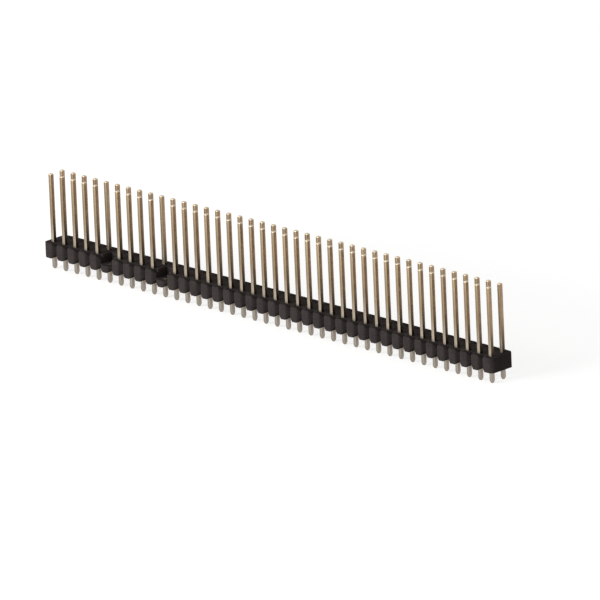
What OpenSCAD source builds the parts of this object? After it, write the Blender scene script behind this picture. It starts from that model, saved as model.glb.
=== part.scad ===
// Double-row pin header strip: long square pins pressed through a moulded housing.
// Millimetres, +Z up the mating pins, X along the strip, Y from the front row to the back row.
// The origin is the middle of the seating face, the underside that lies on the circuit board.

/* [Grid] */
// Positions along each row
positions = 40; // [2:1:40]
// Distance between neighbouring positions
pitch = 2.54; // [2.4:0.02:3]
// Distance between the front row and the back row
row_pitch = 2.54; // [2.4:0.02:4]

/* [Housing] */
// Height of the housing, from its seating face to its top face
housing_h = 2.54; // [2.2:0.02:4]
// Plastic outside each row, from the pins' centre line to the long side
side_margin = 1.27; // [1.1:0.01:2]
// Depth of the break-off grooves in the long sides
groove_depth = 0.54; // [0.2:0.02:0.64]
// Width of the break-off grooves at the mouth
groove_w = 1.08; // [0.6:0.02:1.4]

/* [Break-off notches] */
// Depth of the notches in the underside, between the solder tails
foot_notch_depth = 0.8; // [0.3:0.05:0.9]
// Reach of the notches in the underside, from each long side inwards
foot_notch_reach = 1.4; // [0.8:0.05:1.8]
// Underside left between a notch and the mouth of a pin hole
foot_rim = 0.05; // [0.03:0.01:0.2]
// Depth of the notches in the top face, between the pins
top_notch_depth = 0.6; // [0.2:0.05:0.8]
// Reach of the notches in the top face, from each long side inwards
top_notch_reach = 1; // [0.6:0.05:1.6]
// Top face left between a notch and the mouth of a pin hole
top_rim = 0.2; // [0.05:0.01:0.4]

/* [Pins] */
// Side of the square pin
pin_side = 0.64; // [0.5:0.01:0.8]
// Length of the pin above the housing, which takes the mating socket
mating_len = 11.5; // [6:0.1:20]
// Length of the solder tail below the housing
tail_len = 2; // [1.8:0.1:5]
// Length of the bevel on the mating end
mating_tip_len = 0.1; // [0.05:0.05:1]
// How far the bevel on the mating end cuts in from each side of the pin
mating_tip_bevel = 0.05; // [0.02:0.01:0.2]
// Length of the bevel on the tail's end
tail_tip_len = 0.4; // [0.1:0.05:1.2]
// How far the bevel on the tail's end cuts in from each side of the pin
tail_tip_bevel = 0.14; // [0.02:0.01:0.2]

/* [Pin holes] */
// Clearance between a pin and the wall of its hole, on each side
hole_clearance = 0.01; // [0.005:0.005:0.05]
// Lead-in chamfer at both ends of each hole
hole_lead = 0.1; // [0.05:0.01:0.2]

/* [Key positions] */
// First front-row position with its pin clipped and its housing cut away
key_first = 6; // [1:1:40]
// Second front-row position with its pin clipped and its housing cut away
key_second = 11; // [1:1:40]
// Depth of the key cut below the top face
key_depth = 1.4; // [0.6:0.05:1.5]
// How far the key cut reaches in past the front row's centre line
key_reach = 1.7; // [0.5:0.05:1.8]

/* [Hidden] */
strip_l = positions * pitch;
row_y = row_pitch / 2;
side_y = row_y + side_margin;
key_floor_z = housing_h - key_depth;
hole_side = pin_side + 2 * hole_clearance;
mouth_side = hole_side + 2 * hole_lead;
// How far a cutter runs past the surface that it cuts
overcut = 1;

// Node name of the pins at one position, with two digits so that the names sort in order
function pair_name(i) = str("pin_pair_", i < 10 ? "0" : "", i);

// X of a position, counted from 1 at the -X end
function position_x(i) = (i - (positions + 1) / 2) * pitch;

function is_key(i) = i == key_first || i == key_second;

function reversed(points) = [for (i = [len(points) - 1 : -1 : 0]) points[i]];

// Back edge of the strip in plan: it leaves and meets the middle of a groove at each position
function lobed_edge() = [
    [-strip_l / 2, side_y - groove_depth],
    for (i = [1 : positions]) each [
        [position_x(i) - pitch / 2 + groove_w / 2, side_y],
        [position_x(i) + pitch / 2 - groove_w / 2, side_y],
        [position_x(i) + pitch / 2, side_y - groove_depth]
    ]
];

// A square bar along Z, symmetric about its axis. The profile lists [height, side] upwards
module square_bar(profile) {
    right = [for (p = profile) [p[1] / 2, p[0]]];
    left = [for (p = reversed(profile)) [-p[1] / 2, p[0]]];
    widest = max([for (p = profile) p[1]]);
    intersection() {
        rotate([90, 0, 0])
            linear_extrude(widest + overcut, center = true) polygon(concat(right, left));
        rotate([90, 0, 90])
            linear_extrude(widest + overcut, center = true) polygon(concat(right, left));
    }
}

// Cutter for one pin hole, with a lead-in at the seating face and at the top face
module pin_hole() {
    outer_side = mouth_side + 2 * overcut;
    square_bar([
        [-overcut, outer_side],
        [0, mouth_side],
        [hole_lead, hole_side],
        [housing_h - hole_lead, hole_side],
        [housing_h, mouth_side],
        [housing_h + overcut, outer_side]
    ]);
}

// Cutter for a V notch in the seating face, from the front side inwards. Its rim is the least
// distance that it keeps from the mouths of the pin holes on both sides
module notch(depth, reach, rim) {
    half_w = (pitch - mouth_side) / 2 - rim;
    overcut_w = half_w * overcut / depth;
    translate([0, reach - side_y, 0]) rotate([90, 0, 0])
        linear_extrude(reach + overcut) polygon([
            [-half_w - overcut_w, -overcut],
            [half_w + overcut_w, -overcut],
            [0, depth]
        ]);
}

// Cutter for the notches between two neighbouring positions, on both long sides
module notches() {
    for (m = [0, 1]) mirror([0, m, 0]) {
        notch(foot_notch_depth, foot_notch_reach, foot_rim);
        translate([0, 0, housing_h]) mirror([0, 0, 1])
            notch(top_notch_depth, top_notch_reach, top_rim);
    }
}

// Cutter for a key position: one lobe of the front side, from its top down
module key_cut(i) {
    translate([position_x(i) - pitch / 2, -side_y - overcut, key_floor_z])
        cube([pitch, side_margin + key_reach + overcut, key_depth + overcut]);
}

// One moulding: lobes round the pins, with break-off grooves and notches between positions
module housing() {
    edge = lobed_edge();
    color("#2d2b29") difference() {
        linear_extrude(housing_h)
            polygon(concat(edge, [for (p = reversed(edge)) [p[0], -p[1]]]));
        for (i = [1 : positions], y = [-row_y, row_y])
            translate([position_x(i), y, 0]) pin_hole();
        for (i = [1 : positions - 1])
            translate([position_x(i) + pitch / 2, 0, 0]) notches();
        for (i = [1 : positions])
            if (is_key(i)) key_cut(i);
    }
}

// Solder tail with a bevelled end, and a square shank cut off square at top_z
module clipped_pin(top_z) {
    square_bar([
        [-tail_len, pin_side - 2 * tail_tip_bevel],
        [tail_tip_len - tail_len, pin_side],
        [top_z, pin_side]
    ]);
}

// A whole pin, bevelled at both ends
module pin() {
    square_bar([
        [-tail_len, pin_side - 2 * tail_tip_bevel],
        [tail_tip_len - tail_len, pin_side],
        [housing_h + mating_len - mating_tip_len, pin_side],
        [housing_h + mating_len, pin_side - 2 * mating_tip_bevel]
    ]);
}

// The front pin and the back pin of one position
module pin_pair(i) {
    color("#b7a483") {
        translate([position_x(i), row_y, 0]) pin();
        translate([position_x(i), -row_y, 0])
            if (is_key(i)) clipped_pin(key_floor_z);
            else pin();
    }
}

housing();
for (i = [1 : positions])
    pin_pair(i);
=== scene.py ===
import math

import bmesh
import bpy
from mathutils import Euler, Matrix, Vector


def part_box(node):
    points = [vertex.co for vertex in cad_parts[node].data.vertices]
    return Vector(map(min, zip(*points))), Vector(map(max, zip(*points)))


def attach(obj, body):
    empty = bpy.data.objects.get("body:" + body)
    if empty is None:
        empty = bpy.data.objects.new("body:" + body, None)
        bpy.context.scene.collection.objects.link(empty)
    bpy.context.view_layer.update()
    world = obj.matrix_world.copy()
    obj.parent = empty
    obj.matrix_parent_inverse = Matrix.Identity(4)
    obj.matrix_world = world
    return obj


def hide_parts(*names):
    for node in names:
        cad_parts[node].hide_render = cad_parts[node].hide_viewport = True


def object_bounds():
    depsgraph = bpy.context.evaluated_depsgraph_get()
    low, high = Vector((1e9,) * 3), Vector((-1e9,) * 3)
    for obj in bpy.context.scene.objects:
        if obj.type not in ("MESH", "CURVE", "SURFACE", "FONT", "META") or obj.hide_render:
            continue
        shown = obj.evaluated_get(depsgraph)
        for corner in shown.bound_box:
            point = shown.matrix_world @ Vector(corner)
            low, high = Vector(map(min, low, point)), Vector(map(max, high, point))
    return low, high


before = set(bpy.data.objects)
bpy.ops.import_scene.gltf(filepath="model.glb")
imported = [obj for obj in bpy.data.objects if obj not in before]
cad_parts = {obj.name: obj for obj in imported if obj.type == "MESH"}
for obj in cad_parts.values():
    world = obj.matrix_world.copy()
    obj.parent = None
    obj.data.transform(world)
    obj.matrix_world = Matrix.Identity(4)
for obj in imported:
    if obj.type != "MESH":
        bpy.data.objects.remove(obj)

cad_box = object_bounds()


# ---------------------------------------------------------------------------
# Housing
# The insulator that holds the pins on their grid, moulded in one shot from black glass-filled
# nylon. The mould leaves its outer edges just broken, and each lobe's upright corners rounder.
# ---------------------------------------------------------------------------

MM = 0.001

housing_low, housing_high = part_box("housing")
positions = sum(name.startswith("pin_pair_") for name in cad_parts)
pitch = (housing_high.x - housing_low.x) / positions
lobe_face_y = housing_high.y

lobe_rounding = 0.3 * MM
lobe_steps = 4
edge_rounding = 0.08 * MM
edge_steps = 2

pin_box_low, pin_box_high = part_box("pin_pair_01")
pin_side = pin_box_high.x - pin_box_low.x
row_y = pin_box_high.y - pin_side / 2
# A pin hole clears its pin by hole_clearance all round, and its mouth widens by hole_lead more
hole_clearance = 0.01 * MM
hole_lead = 0.1 * MM
mouth_side = pin_side + 2 * (hole_clearance + hole_lead)

# Points nearer than merge_distance are one point, and lengths within tolerance are equal. Faces
# that turn by less than flat_angle are one flat face, and an edge that turns by more than
# broken_angle is sharp in the mould.
merge_distance = 0.0005 * MM
tolerance = 0.001 * MM
flat_angle = math.radians(0.5)
broken_angle = math.radians(20)
shading_angle = math.radians(25)


def is_lobe_corner(edge):
    """True for an upright edge where a lobe's flat face meets the slope of a groove."""
    low, high = (v.co for v in edge.verts)
    upright = math.hypot(high.x - low.x, high.y - low.y) < tolerance
    return upright and abs(abs(low.y) - lobe_face_y) < tolerance


def at_pin_hole(vertex):
    """True for a point on the wall or the mouth of a pin hole."""
    along = abs((vertex.co.x / pitch) % 1 - 0.5) * pitch
    across = abs(abs(vertex.co.y) - row_y)
    return max(along, across) < mouth_side / 2 + tolerance


def is_foot_rim(edge):
    """True for an edge on the seating face that runs across the strip, beside a notch."""
    low, high = (v.co for v in edge.verts)
    across = abs(high.y - low.y) > abs(high.x - low.x)
    inside = max(abs(low.x), abs(high.x)) < housing_high.x - tolerance
    return max(low.z, high.z) < tolerance and across and inside


def is_outer_edge(edge):
    """True for a sharp outward edge that the mould breaks. Pin holes and foot rims stay sharp."""
    sharp = edge.is_convex and edge.calc_face_angle() > broken_angle
    return sharp and not is_foot_rim(edge) and not any(at_pin_hole(v) for v in edge.verts)


def place(part):
    """The places of a point, or of all the points of an edge or face, in a fixed order."""
    points = [part] if isinstance(part, bmesh.types.BMVert) else part.verts
    return sorted(point.co[:] for point in points)


# A copy of the CAD solid, with its loose triangles joined into the flat faces that they form
body = bmesh.new()
body.from_mesh(bpy.data.objects["housing"].data)
bmesh.ops.remove_doubles(body, verts=body.verts, dist=merge_distance)
bmesh.ops.dissolve_limit(body, angle_limit=flat_angle, verts=body.verts, edges=body.edges)
for chosen, rounding, steps in (
        (is_lobe_corner, lobe_rounding, lobe_steps), (is_outer_edge, edge_rounding, edge_steps)):
    bmesh.ops.bevel(
        body, geom=[e for e in body.edges if chosen(e)], offset=rounding, offset_type="OFFSET",
        segments=steps, profile=0.5, affect="EDGES", clamp_overlap=False)
# Where two rounded edges meet, the bevel leaves points in the same place, which are joined here
bmesh.ops.remove_doubles(body, verts=body.verts, dist=merge_distance)
# The bevel lists its points, edges and faces in a new order each time, so their places order them
for parts in (body.verts, body.edges, body.faces):
    ranks = {part: rank for rank, part in enumerate(sorted(parts, key=place))}
    parts.sort(key=ranks.get)
housing = bpy.data.objects.new("moulded_housing", bpy.data.meshes.new("moulded_housing"))
bpy.context.scene.collection.objects.link(housing)
body.to_mesh(housing.data)
body.free()
housing.data.shade_smooth()
housing.data.set_sharp_from_angle(angle=shading_angle)


def linear(hex_colour):
    """An sRGB hex colour as linear RGBA."""
    channels = [int(hex_colour[i:i + 2], 16) / 255 for i in (1, 3, 5)]
    return [c / 12.92 if c <= 0.04045 else ((c + 0.055) / 1.055) ** 2.4 for c in channels] + [1]


def node(tree, kind, settings=None, links=None):
    """Adds a node with its settings, and sets each input in links to a value or another output."""
    made = tree.nodes.new(kind)
    for name, value in (settings or {}).items():
        setattr(made, name, value)
    for name, value in (links or {}).items():
        if isinstance(value, bpy.types.NodeSocket):
            tree.links.new(value, made.inputs[name])
        else:
            made.inputs[name].default_value = value
    return made


# Black glass-filled nylon, as moulded in a fine-textured tool. It has no gloss: glass ends at
# the skin give a fine pale speckle, and the melt's flow leaves broad, faint lighter clouds.
nylon = bpy.data.materials.new("glass_filled_nylon_moulded")
nylon.use_nodes = True
tree = nylon.node_tree
shader = tree.nodes["Principled BSDF"]
shader.inputs["Roughness"].default_value = 0.75
shader.inputs["Specular IOR Level"].default_value = 0.02
nylon_coordinates = node(tree, "ShaderNodeTexCoord").outputs["Object"]
# Glass ends are about 0.02 mm across, drawn larger so that they show
speckle_size = 0.12 * MM
speckle = node(tree, "ShaderNodeTexNoise", {}, {
    "Vector": nylon_coordinates, "Scale": 1 / speckle_size, "Detail": 3.0, "Roughness": 0.6})
speckle_share = node(tree, "ShaderNodeMapRange", {"clamp": True}, {
    "Value": speckle.outputs["Fac"], "From Min": 0.42, "From Max": 0.72})
cloud_size = 2.2 * MM
clouds = node(tree, "ShaderNodeTexNoise", {}, {
    "Vector": nylon_coordinates, "Scale": 1 / cloud_size, "Detail": 2.0, "Roughness": 0.5})
cloud_share = node(tree, "ShaderNodeMapRange", {"clamp": True}, {
    "Value": clouds.outputs["Fac"], "From Min": 0.35, "From Max": 0.7})
# Inputs 0, 6 and 7 of a colour Mix node are its share and two colours, and output 2 is the mix
body_colour = node(tree, "ShaderNodeMix", {"data_type": "RGBA"}, {
    0: cloud_share.outputs[0], 6: linear("#383433"), 7: linear("#44403e")})
speckled = node(tree, "ShaderNodeMix", {"data_type": "RGBA"}, {
    0: speckle_share.outputs[0], 6: body_colour.outputs[2], 7: linear("#564e4d")})
tree.links.new(speckled.outputs[2], shader.inputs["Base Color"])
skin_depth = 0.02 * MM
skin = node(tree, "ShaderNodeBump", {}, {
    "Strength": 0.35, "Distance": skin_depth, "Height": speckle.outputs["Fac"]})
tree.links.new(skin.outputs[0], shader.inputs["Normal"])

housing.data.materials.append(nylon)
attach(housing, "root")
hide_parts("housing")


# ---------------------------------------------------------------------------
# Pins
# Square wire stamped from brass strip, pressed through the housing in two rows. The strip was
# plated before stamping, so front and back are gold over nickel and the cut sides are plain.
# ---------------------------------------------------------------------------

tail_end = pin_box_low.z
mating_end = pin_box_high.z
wire_corner_radius = 0.08 * MM
bevel_corner_radius = 0.07 * MM
end_corner_radius = 0.06 * MM
wire_corner_points = 4
tail_tip_length = 0.4 * MM
tail_tip_bevel = 0.14 * MM
tail_flat = pin_side - 2 * tail_tip_bevel
mating_tip_length = 0.1 * MM
mating_tip_bevel = 0.05 * MM
mating_flat = pin_side - 2 * mating_tip_bevel
softening = 0.03 * MM

# The two front positions whose pins are clipped off level with the key cut's floor, to key the
# strip. They are counted from the -X end.
key_positions = (6, 11)
key_depth = 1.4 * MM
key_floor = housing_high.z - key_depth

# A face of the wire is a cut side where its normal's X part is more than this
cut_side_slope = 0.8


def square_ring(width, radius, z):
    """Points of a square with rounded corners, from the +X side's front corner round to it."""
    reach = width / 2 - radius
    points = []
    for corner, (sx, sy) in enumerate(((1, 1), (-1, 1), (-1, -1), (1, -1))):
        for step in range(wire_corner_points):
            turn = math.pi / 2 * (corner + step / (wire_corner_points - 1))
            points.append((
                sx * reach + radius * math.cos(turn), sy * reach + radius * math.sin(turn), z))
    return points


def wire(name, levels):
    """A pin through its levels, each (z, width, corner radius), with its cut sides marked."""
    shape = bmesh.new()
    cut_side = shape.faces.layers.float.new("cut_side")
    rows = [
        [shape.verts.new(point) for point in square_ring(width, radius, z)]
        for z, width, radius in levels
    ]
    for low, high in zip(rows, rows[1:]):
        for i in range(len(low)):
            face = shape.faces.new((low[i - 1], low[i], high[i], high[i - 1]))
            face.normal_update()
            face[cut_side] = 1.0 if abs(face.normal.x) > cut_side_slope else 0.0
    shape.faces.new(list(reversed(rows[0])))
    shape.faces.new(rows[-1])
    bmesh.ops.recalc_face_normals(shape, faces=shape.faces)
    data = bpy.data.meshes.new(name)
    shape.to_mesh(data)
    shape.free()
    return bpy.data.objects.new(name, data)


tail_levels = [
    (tail_end, tail_flat - softening, end_corner_radius),
    (tail_end + softening / 2, tail_flat, bevel_corner_radius),
    (tail_end + tail_tip_length - softening, pin_side - softening / 2, wire_corner_radius),
    (tail_end + tail_tip_length + softening, pin_side, wire_corner_radius),
]
whole_pin = wire("whole_pin", tail_levels + [
    (mating_end - mating_tip_length - softening / 2, pin_side, wire_corner_radius),
    (mating_end - mating_tip_length + softening / 2, pin_side - softening / 2, wire_corner_radius),
    (mating_end - softening / 4, mating_flat + softening / 4, bevel_corner_radius),
    (mating_end, mating_flat - softening / 4, end_corner_radius),
])
clipped_pin = wire("clipped_pin", tail_levels + [(key_floor, pin_side, wire_corner_radius)])

# Gold flash over nickel on the rolled faces, with painted light that makes it lighter towards the
# housing and darker up high, and bare brass on the cut sides, with painted shade towards the
# housing. Fine drawing lines run along the wire, and the tails were dipped in tin, which has gone
# dull and grey. All of it reflects softly.
plating = bpy.data.materials.new("gold_flash_on_stamped_brass")
plating.use_nodes = True
tree = plating.node_tree
shader = tree.nodes["Principled BSDF"]
shader.inputs["Metallic"].default_value = 1.0
plating_coordinates = node(tree, "ShaderNodeTexCoord").outputs["Object"]
height = node(tree, "ShaderNodeSeparateXYZ", {}, {0: plating_coordinates}).outputs["Z"]
# Drawing lines are about 0.01 mm apart, drawn wider apart so that they show
line_gap = 0.09 * MM
line_length = 2.5 * MM
long_way = node(tree, "ShaderNodeMapping", {}, {
    "Vector": plating_coordinates, "Scale": (1 / line_gap, 1 / line_gap, 1 / line_length)})
lines = node(tree, "ShaderNodeTexNoise", {}, {
    "Vector": long_way.outputs[0], "Scale": 1.0, "Detail": 2.0, "Roughness": 0.5})
patch_size = 1.1 * MM
patches = node(tree, "ShaderNodeTexNoise", {}, {
    "Vector": plating_coordinates, "Scale": 1 / patch_size, "Detail": 3.0, "Roughness": 0.55})
cut_share = node(tree, "ShaderNodeAttribute", {"attribute_name": "cut_side"}).outputs["Fac"]
tone = node(tree, "ShaderNodeAttribute", {"attribute_name": "pin_tone"}).outputs["Fac"]
gold = node(tree, "ShaderNodeMix", {"data_type": "RGBA"}, {
    0: tone, 6: linear("#7a6953"), 7: linear("#87775f")})
brass_share = node(tree, "ShaderNodeMapRange", {"clamp": True}, {
    "Value": patches.outputs["Fac"], "From Min": 0.35, "From Max": 0.65})
brass = node(tree, "ShaderNodeMix", {"data_type": "RGBA"}, {
    0: brass_share.outputs[0], 6: linear("#9a8067"), 7: linear("#b1977c")})
# Painted shade: the cut sides darken towards the housing, standing in for the housing's shade and
# dark reflection
painted_shade_start, painted_shade_end = 9.5 * MM, 2.5 * MM
painted_shade_share = node(
    tree, "ShaderNodeMapRange", {"clamp": True, "interpolation_type": "SMOOTHSTEP"}, {
        "Value": height, "From Min": painted_shade_start, "From Max": painted_shade_end})
cut_sides_with_painted_shade = node(tree, "ShaderNodeMix", {"data_type": "RGBA"}, {
    0: painted_shade_share.outputs[0], 6: brass.outputs[2], 7: linear("#4c3e32")})
# Painted light and shade: the gold is lighter towards the housing and darker up high, for how
# light falls along the pins
painted_light_start, painted_light_end = 8 * MM, -0.8 * MM
painted_light_share = node(
    tree, "ShaderNodeMapRange", {"clamp": True, "interpolation_type": "SMOOTHSTEP"}, {
        "Value": height, "From Min": painted_light_start, "From Max": painted_light_end})
gold_with_painted_light = node(tree, "ShaderNodeMix", {"data_type": "RGBA"}, {
    0: painted_light_share.outputs[0], 6: gold.outputs[2], 7: linear("#bcb2a4")})
faces = node(tree, "ShaderNodeMix", {"data_type": "RGBA"}, {
    0: cut_share, 6: gold_with_painted_light.outputs[2], 7: cut_sides_with_painted_shade.outputs[2]})
tin = node(tree, "ShaderNodeMix", {"data_type": "RGBA"}, {
    0: cut_share, 6: linear("#968f84"), 7: linear("#a89d91")})
# The tin ends inside the housing
tin_start, tin_end = 1.5 * MM, 0.5 * MM
tin_share = node(tree, "ShaderNodeMapRange", {"clamp": True}, {
    "Value": height, "From Min": tin_start, "From Max": tin_end})
with_tails = node(tree, "ShaderNodeMix", {"data_type": "RGBA"}, {
    0: tin_share.outputs[0], 6: faces.outputs[2], 7: tin.outputs[2]})
# A painted highlight: the mating end and the bevel round it are lighter, as if lit from above
painted_highlight_from = mating_end - mating_tip_length
painted_highlight_share = node(tree, "ShaderNodeMapRange", {"clamp": True}, {
    "Value": height, "From Min": painted_highlight_from - softening, "From Max": painted_highlight_from})
with_painted_highlight = node(tree, "ShaderNodeMix", {"data_type": "RGBA"}, {
    0: painted_highlight_share.outputs[0], 6: with_tails.outputs[2], 7: linear("#cbbba3")})
streaks = node(tree, "ShaderNodeMapRange", {"clamp": True}, {
    "Value": lines.outputs["Fac"], "From Min": 0.3, "From Max": 0.7,
    "To Min": 0.84, "To Max": 1.0})
streaked = node(tree, "ShaderNodeMix", {"data_type": "RGBA", "blend_type": "MULTIPLY"}, {
    0: 1.0, 6: with_painted_highlight.outputs[2], 7: streaks.outputs[0]})
tree.links.new(streaked.outputs[2], shader.inputs["Base Color"])
dullness = node(tree, "ShaderNodeMapRange", {"clamp": True}, {
    "Value": patches.outputs["Fac"], "From Min": 0.3, "From Max": 0.7,
    "To Min": 0.36, "To Max": 0.48})
tree.links.new(dullness.outputs[0], shader.inputs["Roughness"])
line_depth = 0.01 * MM
drawn = node(tree, "ShaderNodeBump", {}, {
    "Strength": 0.25, "Distance": line_depth, "Height": lines.outputs["Fac"]})
tree.links.new(drawn.outputs[0], shader.inputs["Normal"])


def new_tree(name, sizes):
    """A geometry tree with named inputs, each (name, socket type). Returns tree and its inputs."""
    made = bpy.data.node_groups.new(name, "GeometryNodeTree")
    for label, kind in sizes:
        made.interface.new_socket(label, in_out="INPUT", socket_type=kind)
    made.interface.new_socket("Geometry", in_out="OUTPUT", socket_type="NodeSocketGeometry")
    return made, node(made, "NodeGroupInput").outputs


def grow(name, group, values):
    """Runs a geometry tree with its inputs set, and returns the result as a plain mesh object."""
    grown = bpy.data.objects.new(name, bpy.data.meshes.new(name))
    bpy.context.scene.collection.objects.link(grown)
    modifier = grown.modifiers.new(group.name, "NODES")
    modifier.node_group = group
    for item in group.interface.items_tree:
        if item.in_out == "INPUT":
            modifier[item.identifier] = values[item.name]
    bpy.context.view_layer.update()
    evaluated = grown.evaluated_get(bpy.context.evaluated_depsgraph_get())
    mesh = bpy.data.meshes.new_from_object(evaluated)
    grown.modifiers.clear()
    grown.data = mesh
    mesh.name = name
    return grown


# Sets a pin at each position of both rows, and the clipped pins at the front row's keys
pin_tree, given = new_tree("pressed_pins", [
    ("Positions", "NodeSocketInt"), ("Pitch", "NodeSocketFloat"),
    ("Row spacing", "NodeSocketFloat"),
    ("First key", "NodeSocketInt"), ("Second key", "NodeSocketInt"),
    ("Whole pin", "NodeSocketObject"), ("Clipped pin", "NodeSocketObject"),
    ("Twist", "NodeSocketFloat"), ("Seed", "NodeSocketInt"), ("Metal", "NodeSocketMaterial")])
gaps = node(pin_tree, "ShaderNodeMath", {"operation": "SUBTRACT"}, {0: given["Positions"], 1: 1.0})
half_pitch = node(pin_tree, "ShaderNodeMath", {"operation": "MULTIPLY"}, {
    0: given["Pitch"], 1: -0.5})
first_x = node(pin_tree, "ShaderNodeMath", {"operation": "MULTIPLY"}, {
    0: gaps.outputs[0], 1: half_pitch.outputs[0]})
number = node(pin_tree, "FunctionNodeIntegerMath", {"operation": "ADD"}, {
    0: node(pin_tree, "GeometryNodeInputIndex").outputs[0], 1: 1})
# Inputs 2 and 3 of a Compare node are the two whole numbers that it compares
key_tests = [
    node(pin_tree, "FunctionNodeCompare", {"data_type": "INT", "operation": "EQUAL"}, {
        2: number.outputs[0], 3: given[key]})
    for key in ("First key", "Second key")
]
is_key = node(pin_tree, "FunctionNodeBooleanMath", {"operation": "OR"}, {
    0: key_tests[0].outputs[0], 1: key_tests[1].outputs[0]})
is_plain = node(pin_tree, "FunctionNodeBooleanMath", {"operation": "NOT"}, {0: is_key.outputs[0]})
all_pins = node(pin_tree, "GeometryNodeJoinGeometry")
for row, share in (("front", -0.5), ("back", 0.5)):
    y = node(pin_tree, "ShaderNodeMath", {"operation": "MULTIPLY"}, {
        0: given["Row spacing"], 1: share})
    start = node(pin_tree, "ShaderNodeCombineXYZ", {}, {0: first_x.outputs[0], 1: y.outputs[0]})
    line = node(pin_tree, "GeometryNodeMeshLine", {"mode": "OFFSET"}, {
        "Count": given["Positions"], "Start Location": start.outputs[0],
        "Offset": node(pin_tree, "ShaderNodeCombineXYZ", {}, {0: given["Pitch"]}).outputs[0]})
    kinds = [("Whole pin", None)]
    if row == "front":
        kinds = [("Whole pin", is_plain), ("Clipped pin", is_key)]
    for source, chosen in kinds:
        shape = node(pin_tree, "GeometryNodeObjectInfo", {}, {"Object": given[source]})
        least_twist = node(pin_tree, "ShaderNodeMath", {"operation": "MULTIPLY"}, {
            0: given["Twist"], 1: -1.0})
        # Inputs 2 and 3 of a Random Value node are a number's limits, and output 1 is the number
        twist = node(pin_tree, "FunctionNodeRandomValue", {"data_type": "FLOAT"}, {
            2: least_twist.outputs[0], 3: given["Twist"], "Seed": given["Seed"]})
        turn = node(pin_tree, "ShaderNodeCombineXYZ", {}, {2: twist.outputs[1]})
        placed = node(pin_tree, "GeometryNodeInstanceOnPoints", {}, {
            "Points": line.outputs[0], "Instance": shape.outputs["Geometry"],
            "Rotation": turn.outputs[0]})
        if chosen:
            pin_tree.links.new(chosen.outputs[0], placed.inputs["Selection"])
        pin_tree.links.new(placed.outputs[0], all_pins.inputs[0])
pin_tone = node(pin_tree, "FunctionNodeRandomValue", {"data_type": "FLOAT"}, {
    "Seed": given["Seed"]})
toned = node(
    pin_tree, "GeometryNodeStoreNamedAttribute", {"data_type": "FLOAT", "domain": "INSTANCE"}, {
        "Geometry": all_pins.outputs[0], "Name": "pin_tone", "Value": pin_tone.outputs[1]})
realized = node(pin_tree, "GeometryNodeRealizeInstances", {}, {0: toned.outputs[0]})
finished = node(pin_tree, "GeometryNodeSetMaterial", {}, {
    "Geometry": realized.outputs[0], "Material": given["Metal"]})
node(pin_tree, "NodeGroupOutput", {}, {0: finished.outputs[0]})

pins = grow("stamped_pins", pin_tree, {
    "Positions": positions, "Pitch": pitch, "Row spacing": 2 * row_y,
    "First key": key_positions[0], "Second key": key_positions[1],
    "Whole pin": whole_pin, "Clipped pin": clipped_pin,
    "Twist": math.radians(0.8), "Seed": 7, "Metal": plating})
pins.data.shade_smooth()
pins.data.set_sharp_from_angle(angle=shading_angle)
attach(pins, "root")
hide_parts(*(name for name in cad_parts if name.startswith("pin_pair_")))


# ---------------------------------------------------------------------------
# Floor
# A sheet of white matt card that the tails stand on. It goes on past every view, and it
# keeps the strip's soft shadow.
# ---------------------------------------------------------------------------

floor_reach = 1.5
card = bmesh.new()
card.faces.new([
    card.verts.new((sx * floor_reach, sy * floor_reach, cad_box[0].z))
    for sx, sy in ((-1, -1), (1, -1), (1, 1), (-1, 1))
])
floor = bpy.data.objects.new("white_card_floor", bpy.data.meshes.new("white_card_floor"))
card.to_mesh(floor.data)
card.free()
bpy.context.scene.collection.objects.link(floor)


def seen_plainly(tree):
    """1 for rays from the camera, from a shiny surface or through a clear one, and else 0."""
    seen = node(tree, "ShaderNodeLightPath")
    by_metal_or_glass = node(tree, "ShaderNodeMath", {"operation": "MAXIMUM"}, {
        0: seen.outputs["Is Glossy Ray"], 1: seen.outputs["Is Transmission Ray"]})
    return node(tree, "ShaderNodeMath", {"operation": "MAXIMUM"}, {
        0: seen.outputs["Is Camera Ray"], 1: by_metal_or_glass.outputs[0]}).outputs[0]


# Matt white card. It scatters all light evenly, and where it is seen it is lifted to white, less
# the strip's shadow. The lift shows in the metal too, and otherwise lights nothing.
floor_lift = 0.75
white_card = bpy.data.materials.new("matt_white_card")
white_card.use_nodes = True
tree = white_card.node_tree
shader = tree.nodes["Principled BSDF"]
shader.inputs["Base Color"].default_value = linear("#f2f2f0")
shader.inputs["Roughness"].default_value = 1.0
shader.inputs["Specular IOR Level"].default_value = 0.0
lift_strength = node(tree, "ShaderNodeMath", {"operation": "MULTIPLY"}, {
    0: seen_plainly(tree), 1: floor_lift})
lift = node(tree, "ShaderNodeEmission", {}, {
    "Color": linear("#ffffff"), "Strength": lift_strength.outputs[0]})
both = node(tree, "ShaderNodeAddShader", {}, {0: shader.outputs[0], 1: lift.outputs[0]})
tree.links.new(both.outputs[0], tree.nodes["Material Output"].inputs["Surface"])
floor.data.materials.append(white_card)


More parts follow.
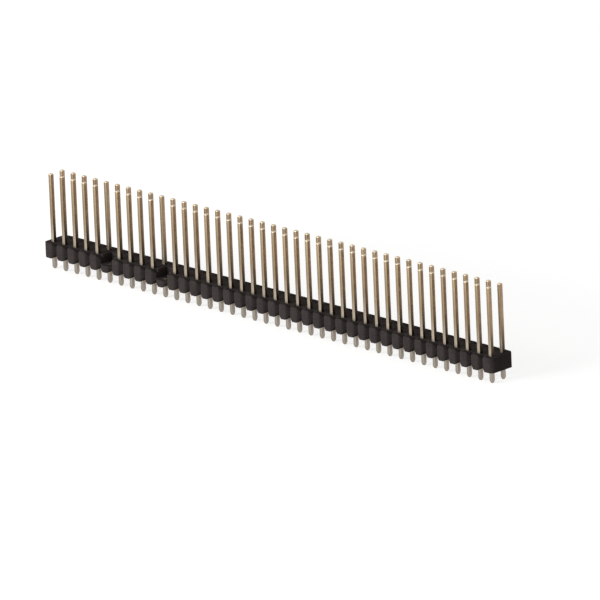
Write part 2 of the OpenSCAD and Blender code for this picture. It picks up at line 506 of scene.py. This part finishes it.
# ---------------------------------------------------------------------------
# Light
# One large soft window low at the front left, which lights the front of every pin, and an even
# white room all round. The room lights the strip at room_level, and is seen as plain white.
# ---------------------------------------------------------------------------

room_level = 0.21
world = bpy.data.worlds.new("white_room")
bpy.context.scene.world = world
world.use_nodes = True
tree = world.node_tree
tree.nodes.clear()
room_light = node(tree, "ShaderNodeBackground", {}, {0: linear("#ffffff"), 1: room_level})
room_seen = node(tree, "ShaderNodeBackground", {}, {0: linear("#ffffff"), 1: 1.0})
room = node(tree, "ShaderNodeMixShader", {}, {
    0: seen_plainly(tree), 1: room_light.outputs[0], 2: room_seen.outputs[0]})
node(tree, "ShaderNodeOutputWorld", {}, {0: room.outputs[0]})

window_place = Vector((-0.36, -0.82, 0.16))
window = bpy.data.lights.new("soft_window", "AREA")
window.shape = "RECTANGLE"
window.size, window.size_y = 0.7, 0.4
window.energy = 7.0
window_object = bpy.data.objects.new("soft_window", window)
bpy.context.scene.collection.objects.link(window_object)
window_object.location = window_place
window_object.rotation_euler = (-window_place).to_track_quat("-Z", "Y").to_euler()


# ---------------------------------------------------------------------------
# Camera
# A long lens far off, so that the strip shows almost no perspective, from the front right and
# a little above, with the strip running down to the right.
# ---------------------------------------------------------------------------

camera_turn = math.radians(45.4)
camera_rise = math.radians(17.6)
camera_roll = math.radians(2.4)
frame_width = 96.5 * MM
aim_right = 3.7 * MM
aim_up = 1.8 * MM

lens = bpy.data.cameras.new("long_lens")
lens.lens = 1500
camera = bpy.data.objects.new("long_lens", lens)
bpy.context.scene.collection.objects.link(camera)
back = Vector((
    math.sin(camera_turn) * math.cos(camera_rise),
    -math.cos(camera_turn) * math.cos(camera_rise),
    math.sin(camera_rise)))
upright = Euler((math.pi / 2 - camera_rise, 0, camera_turn)).to_matrix()
facing = upright @ Matrix.Rotation(-camera_roll, 3, "Z")
aim = facing @ Vector((aim_right, aim_up, 0))
distance = frame_width * lens.lens / lens.sensor_width
camera.location = aim + back * distance
camera.rotation_euler = facing.to_euler()
lens.clip_start, lens.clip_end = 0.1, 20
bpy.context.scene.camera = camera
bpy.context.scene.view_settings.view_transform = "Standard"
